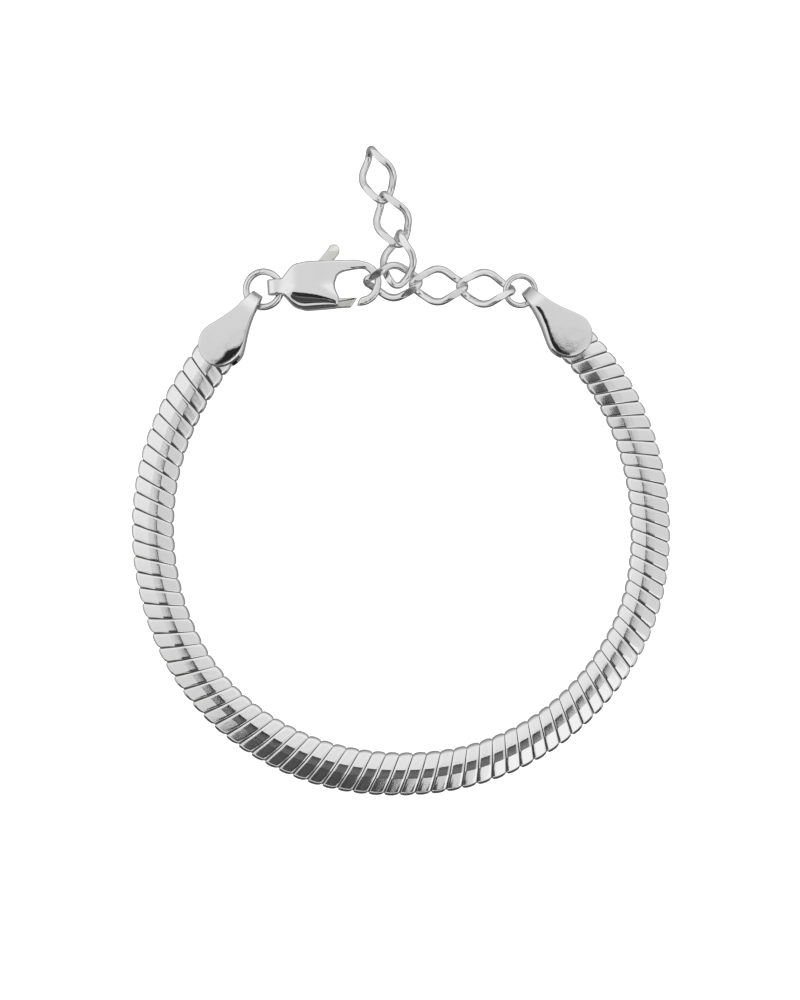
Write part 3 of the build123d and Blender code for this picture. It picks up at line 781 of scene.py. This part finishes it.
clasp_place = (Matrix.Translation((*CLASP_ORIGIN, CLASP_THICKNESS / 2))
               @ Matrix.Rotation(CLASP_YAW, 4, "Z"))
clasp = plate(CLASP_OUTLINE, CLASP_THICKNESS, CLASP_RIM, rim_steps=4)
cut_squares(clasp, SQUARES_LOW, SQUARES_HIGH, SQUARE)
for vert in clasp.verts:
    x, y, z = vert.co
    below_top = CLASP_THICKNESS / 2 - abs(z)
    height = max(0.0, clasp_half_height(x, y) - RIM_DEPTH * below_top)
    vert.co.z = height if z > 0 else -height
bmesh.ops.remove_doubles(clasp, verts=clasp.verts, dist=CLASP_MERGE)
eye = eye_block(BAIL_EYE_LOW, BAIL_EYE_HIGH, BAIL_EYE_CORNER, segments=6)
clasp = carved(clasp, [eye, sector(*TAB_ROOM), sector(*GATE_ROOM),
                       pivot_cylinder(HUB_ROOM, SLOT_HEIGHT)])
bmesh.ops.transform(clasp, matrix=clasp_place, verts=clasp.verts)
finish_piece(clasp, "lobster_clasp", "clasp_body", bright_silver)

# Clasp lever: cast with the gate that closes the hook and the tab that a thumb presses. It turns
# on a post in the clasp's slot, against a spring hidden behind it.
LEVER_THICKNESS = 1.0
LEVER_RIM = 0.18
LEVER_BORE = 0.5

# the tab is ground to a facet from here out, which falls by this much in each millimetre
TAB_FACET = 3.78
TAB_FALL = 0.22

# plan of the lever in the clasp's frame, with the radius at each corner
LEVER_OUTLINE = [
    (10.49, -1.84, 0.08), (6.55, -1.70, 0.3), (6.25, -1.05, 0.4), (8.02, 2.82, 1.5),
    (8.66, 3.50, 0.6), (8.78, 4.10, 0.5), (8.45, 4.55, 0.4), (7.75, 4.60, 0.5), (7.28, 3.95, 0.8),
    (6.10, 2.68, 0.8), (5.72, -0.75, 0.5), (4.86, -1.25, 0.6), (4.86, -2.3, 0.7),
    (5.73, -2.68, 0.6), (7.95, -2.93, 0.8), (9.62, -2.94, 0.3),
]

# left as it was cast and tumbled under its plate: paler, satin and very slightly warm
satin_silver = rhodium_silver("satin_silver", "#eeeeea", 0.2, 0.15)

lever = plate(LEVER_OUTLINE, LEVER_THICKNESS, LEVER_RIM, rim_steps=3)
cut_along(lever, (0, TAB_FACET, 0), (0, 1, 0))
for vert in lever.verts:
    if vert.co.y > TAB_FACET and vert.co.z > 0:
        vert.co.z -= TAB_FALL * (vert.co.y - TAB_FACET)
lever = carved(lever, [pivot_cylinder(LEVER_BORE, 2 * LEVER_THICKNESS)])
bmesh.ops.transform(lever, matrix=clasp_place, verts=lever.verts)
finish_piece(lever, "clasp_thumb_lever", "clasp_lever", satin_silver, "lever")

# Extension chain: six curb links of round silver wire, each twisted so that it lies flat, rolled
# and ground on both sides, polished and rhodium plated. Three close the loop, three hang free.
EXTENSION_LENGTH = 7.05
EXTENSION_WIDTH = 4.50
EXTENSION_WIRE = 0.73
EXTENSION_TWIST = 0.86
EXTENSION_FLAT = 0.21
EXTENSION_SPREAD = 0.08
EXTENSION_QUARTER = 0.40
SIDE_RADIUS = 2.1
QUARTER_RADIUS = 1.5
TIP_RADIUS = 0.78
SETTLING_ROUNDS = 12
WIRE_MERGE = 1e-4

# each link's middle, and its yaw, pitch and roll in degrees
EXTENSION_LIES = [
    (9.866, 28.427, 1.213, -4.38, -1.31, -12.07),
    (4.303, 28.769, 1.147, -2.32, 0.21, -1.94),
    (-1.077, 29.212, 1.341, -0.55, 3.28, 16.77),
    (-0.419, 31.842, 1.520, -93.56, -0.92, 27.51),
    (-1.184, 36.530, 1.304, -71.15, 0.85, 17.16),
    (-2.925, 41.743, 1.385, -75.95, 1.29, 22.92),
]


def sweep_wire(path, radius, sides):
    """Sweep a round wire along a closed path, ring by ring, without twisting it."""
    count = len(path)
    ways = [(path[(i + 1) % count] - path[i - 1]).normalized() for i in range(count)]
    across = [ways[0].orthogonal().normalized()]
    for i in range(1, count + 1):
        across.append(ways[i - 1].rotation_difference(ways[i % count]) @ across[-1])
    twist = across[count].angle(across[0])
    if across[count].cross(across[0]).dot(ways[0]) < 0:
        twist = -twist
    places = []
    for i in range(count + 1):
        way = ways[i % count]
        side = Matrix.Rotation(twist * i / count, 3, way) @ across[i]
        places.append(axes_place(side, way.cross(side), way, path[i % count]))
    bm = bmesh.new()
    bmesh.ops.create_circle(bm, segments=sides, radius=radius, cap_ends=False)
    bmesh.ops.transform(bm, matrix=places[0], verts=bm.verts)
    ring = bm.edges[:]
    for i in range(1, count + 1):
        made = bmesh.ops.extrude_edge_only(bm, edges=ring)["geom"]
        ring = [part for part in made if isinstance(part, bmesh.types.BMEdge)]
        bmesh.ops.transform(bm, matrix=places[i] @ places[i - 1].inverted(),
                            verts=verts_of(made))
    bmesh.ops.remove_doubles(bm, verts=bm.verts, dist=WIRE_MERGE)
    return bm


def curb_corners():
    """Return a twisted curb link's corners, set out so that its rounded path keeps its size."""
    half_length = (EXTENSION_LENGTH - EXTENSION_WIRE) / 2
    half_width = (EXTENSION_WIDTH - EXTENSION_WIRE) / 2
    near, far = EXTENSION_QUARTER, 1 - EXTENSION_QUARTER
    tip, side = half_length, half_width
    # a corner's angle and how far out it stands depend on each other, so they settle in turn
    for _ in range(SETTLING_ROUNDS):
        tip_angle = atan2(hypot(side * near, EXTENSION_TWIST), tip * near)
        side_angle = atan2(tip * far, side * far)
        tip = half_length + TIP_RADIUS * (1 / sin(tip_angle) - 1)
        side = half_width + SIDE_RADIUS * (1 / sin(side_angle) - 1)
    corners = []
    for half in (1, -1):
        for x, y, z, radius in ((0, side, 0, SIDE_RADIUS),
                                (tip * far, side * near, -EXTENSION_TWIST, QUARTER_RADIUS),
                                (tip, 0, 0, TIP_RADIUS),
                                (tip * far, -side * near, EXTENSION_TWIST, QUARTER_RADIUS)):
            corners.append((Vector((half * x, half * y, z)), radius))
    return corners


for number, lie in enumerate(EXTENSION_LIES, start=1):
    link = sweep_wire(rounded_path(curb_corners(), steps=9), EXTENSION_WIRE / 2, sides=20)
    # rolling has spread the wire between the tips
    link.normal_update()
    for vert in link.verts:
        towards_tip = min(1, 2 * abs(vert.co.x) / EXTENSION_LENGTH)
        outward = Vector((vert.normal.x, vert.normal.y, 0))
        vert.co += outward * EXTENSION_SPREAD * (1 - towards_tip**4)
    flat = max(vert.co.z for vert in link.verts) - EXTENSION_FLAT
    for side in (-1, 1):
        cut_along(link, (0, 0, side * flat), (0, 0, side), drop_beyond=True)
    bmesh.ops.holes_fill(link, edges=[e for e in link.edges if e.is_boundary], sides=0)
    bmesh.ops.transform(link, matrix=lie_matrix(lie), verts=link.verts)
    finish_piece(link, f"curb_link_{number}", f"extension_link_{number}", wire_silver)

# Table: plain white, lit evenly so that it shows no shadow. The polished metal is set to see a
# grey surround below the horizon instead of it, as it does in a studio tent.
TABLE_HALF_SIZE = 1.2
floor_mesh = bmesh.new()
bmesh.ops.create_grid(floor_mesh, x_segments=1, y_segments=1, size=TABLE_HALF_SIZE)
table_mesh = bpy.data.meshes.new("white_table")
floor_mesh.to_mesh(table_mesh)
floor_mesh.free()
table = bpy.data.objects.new("white_table", table_mesh)
bpy.context.scene.collection.objects.link(table)
# white matt board: it gives back even light and has a little of its own
table_paint = bpy.data.materials.new("white_table")
table_paint.use_nodes = True
paint = table_paint.node_tree.nodes["Principled BSDF"]
paint.inputs["Base Color"].default_value = linear("#fafafa")
paint.inputs["Roughness"].default_value = 0.8
paint.inputs["Emission Color"].default_value = (1, 1, 1, 1)
paint.inputs["Emission Strength"].default_value = 0.75
table_mesh.materials.append(table_paint)
table.visible_glossy = False

# Studio: a soft white tent, grey below. The camera and the dark front of the room show in the
# polished tops, so dark cards hang in their places, and a bright panel stands at the front right.
TENT_TONES = [(0.0, "#848484"), (0.30, "#929292"), (0.42, "#b2b2b2"), (0.52, "#d4d4d4"),
              (0.80, "#e4e4e4"), (0.95, "#dedede"), (1.0, "#d6d6d6")]
TENT_TURN = radians(-22)
CARD_LEVEL = 0.2985
STREAK_LEVEL = 0.2975
BENCH_Y = -0.34

# a card's light is uneven in patches about 4 mm wide and 20 mm long
STREAK_SCALE = 260.0
STREAK_STRETCH = (0.2, 1.0, 1.0)

# level cards in metres: height, darkest and lightest glow, and corners. The first stands for the
# camera, the front and low ones for the room's dark front, with two paler streaks across it
CARDS = {
    "camera_card": (CARD_LEVEL, 0.006, 0.03, [
        (-0.044, 0.032), (-0.030, 0.038), (0.042, 0.038), (0.043, -0.039), (-0.044, -0.049)]),
    "front_card": (CARD_LEVEL, 0.015, 0.09, [
        (-0.058, -0.047), (0.043, -0.039), (0.049, -0.150), (0.002, -0.172), (-0.008, -0.330),
        (-0.190, -0.290), (-0.115, -0.150)]),
    "near_streak": (STREAK_LEVEL, 0.06, 0.26, [
        (-0.040, -0.050), (0.043, -0.045), (0.043, -0.080), (-0.054, -0.080)]),
    "far_streak": (STREAK_LEVEL, 0.03, 0.14, [
        (-0.150, -0.166), (0.001, -0.174), (-0.003, -0.216), (-0.160, -0.216)]),
    "low_card": (CARD_LEVEL, 0.012, 0.08, [
        (0.000, -0.222), (0.050, -0.225), (0.070, -0.330), (-0.008, -0.330)]),
    "bright_panel": (CARD_LEVEL, 0.95, 1.05, [
        (0.055, -0.120), (0.260, -0.100), (0.260, -0.340), (0.075, -0.340)]),
}

world = bpy.data.worlds.new("studio_tent")
bpy.context.scene.world = world
world.use_nodes = True
sky = world.node_tree
sky.nodes.clear()
way = add_node(sky, "ShaderNodeTexCoord", {}).outputs["Generated"]
height = add_node(sky, "ShaderNodeSeparateXYZ", {}, Vector=way).outputs["Z"]
level = add_node(sky, "ShaderNodeMapRange", {"From Min": -1.0, "From Max": 1.0}, Value=height)
ramp = add_node(sky, "ShaderNodeValToRGB", {}, Fac=level.outputs["Result"])
first, last = ramp.color_ramp.elements
first.position, first.color = TENT_TONES[0][0], linear(TENT_TONES[0][1])
last.position, last.color = TENT_TONES[-1][0], linear(TENT_TONES[-1][1])
for position, tone in TENT_TONES[1:-1]:
    ramp.color_ramp.elements.new(position).color = linear(tone)
# the tent is brighter on its far side, a little to the left, and falls off again low down there
turned = add_node(sky, "ShaderNodeMapping", {"Rotation": (0, 0, TENT_TURN)}, Vector=way)
depth = add_node(sky, "ShaderNodeSeparateXYZ", {}, Vector=turned.outputs["Vector"]).outputs["Y"]
behind = add_node(sky, "ShaderNodeMapRange",
                  {"From Min": -0.1, "From Max": 0.3, "To Min": 0.98, "To Max": 1.22}, Value=depth)
far = add_node(sky, "ShaderNodeMapRange", {"From Min": 0.55, "From Max": 0.95, "To Max": 0.8},
               Value=depth, To_Min=behind.outputs["Result"])
glow = add_node(sky, "ShaderNodeBackground", {}, Color=ramp.outputs["Color"],
                Strength=far.outputs["Result"])
add_node(sky, "ShaderNodeOutputWorld", {}, Surface=glow.outputs["Background"])


def card_paint(name, darkest, lightest):
    """An unevenly lit card: emission that varies in streaks a few millimetres wide."""
    paint = bpy.data.materials.new(name)
    paint.use_nodes = True
    tree = paint.node_tree
    tree.nodes.clear()
    place = add_node(tree, "ShaderNodeMapping", {"Scale": STREAK_STRETCH},
                     Vector=add_node(tree, "ShaderNodeTexCoord", {}).outputs["Object"])
    streaks = add_node(tree, "ShaderNodeTexNoise", {"Scale": STREAK_SCALE, "Detail": 4.0},
                       Vector=place.outputs["Vector"])
    tone = add_node(tree, "ShaderNodeMapRange",
                    {"From Min": 0.35, "From Max": 0.65, "To Min": darkest, "To Max": lightest},
                    Value=streaks.outputs["Fac"])
    light = add_node(tree, "ShaderNodeEmission", {"Color": (1, 1, 1, 1)},
                     Strength=tone.outputs["Result"])
    add_node(tree, "ShaderNodeOutputMaterial", {}, Surface=light.outputs["Emission"])
    return paint


def add_card(name, corners, darkest, lightest):
    """Hang a flat card that only the polished metal sees."""
    bm = bmesh.new()
    bm.faces.new([bm.verts.new(corner) for corner in corners])
    mesh = bpy.data.meshes.new(name)
    bm.to_mesh(mesh)
    bm.free()
    mesh.materials.append(card_paint(name, darkest, lightest))
    card = bpy.data.objects.new(name, mesh)
    bpy.context.scene.collection.objects.link(card)
    card.visible_camera = False
    card.visible_diffuse = False
    card.visible_shadow = False


for name, (card_level, darkest, lightest, corners) in CARDS.items():
    add_card(name, [(x, y, card_level) for x, y in corners], darkest, lightest)
bench_corners = [(-0.45, -0.25), (0.45, -0.25), (0.45, 0.18), (-0.45, 0.18)]
add_card("dark_bench", [(x, BENCH_Y, z) for x, z in bench_corners], 0.03, 0.10)

# Camera: straight above the middle of the bracelet and 0.3 m up, with a lens long enough for the
# bracelet to fill the picture as it does in the photo.
CAMERA_SPOT = (-0.000235, 0.00353, 0.3012)
CAMERA_LENS = 91.8
CAMERA_SENSOR = 36.0
camera = bpy.data.cameras.new("above")
camera.sensor_fit = "VERTICAL"
camera.sensor_height = CAMERA_SENSOR
camera.lens = CAMERA_LENS
camera.clip_start = 0.01
eye_above = bpy.data.objects.new("above", camera)
eye_above.location = CAMERA_SPOT
bpy.context.scene.collection.objects.link(eye_above)
bpy.context.scene.camera = eye_above
bpy.context.scene.view_settings.view_transform = "Standard"
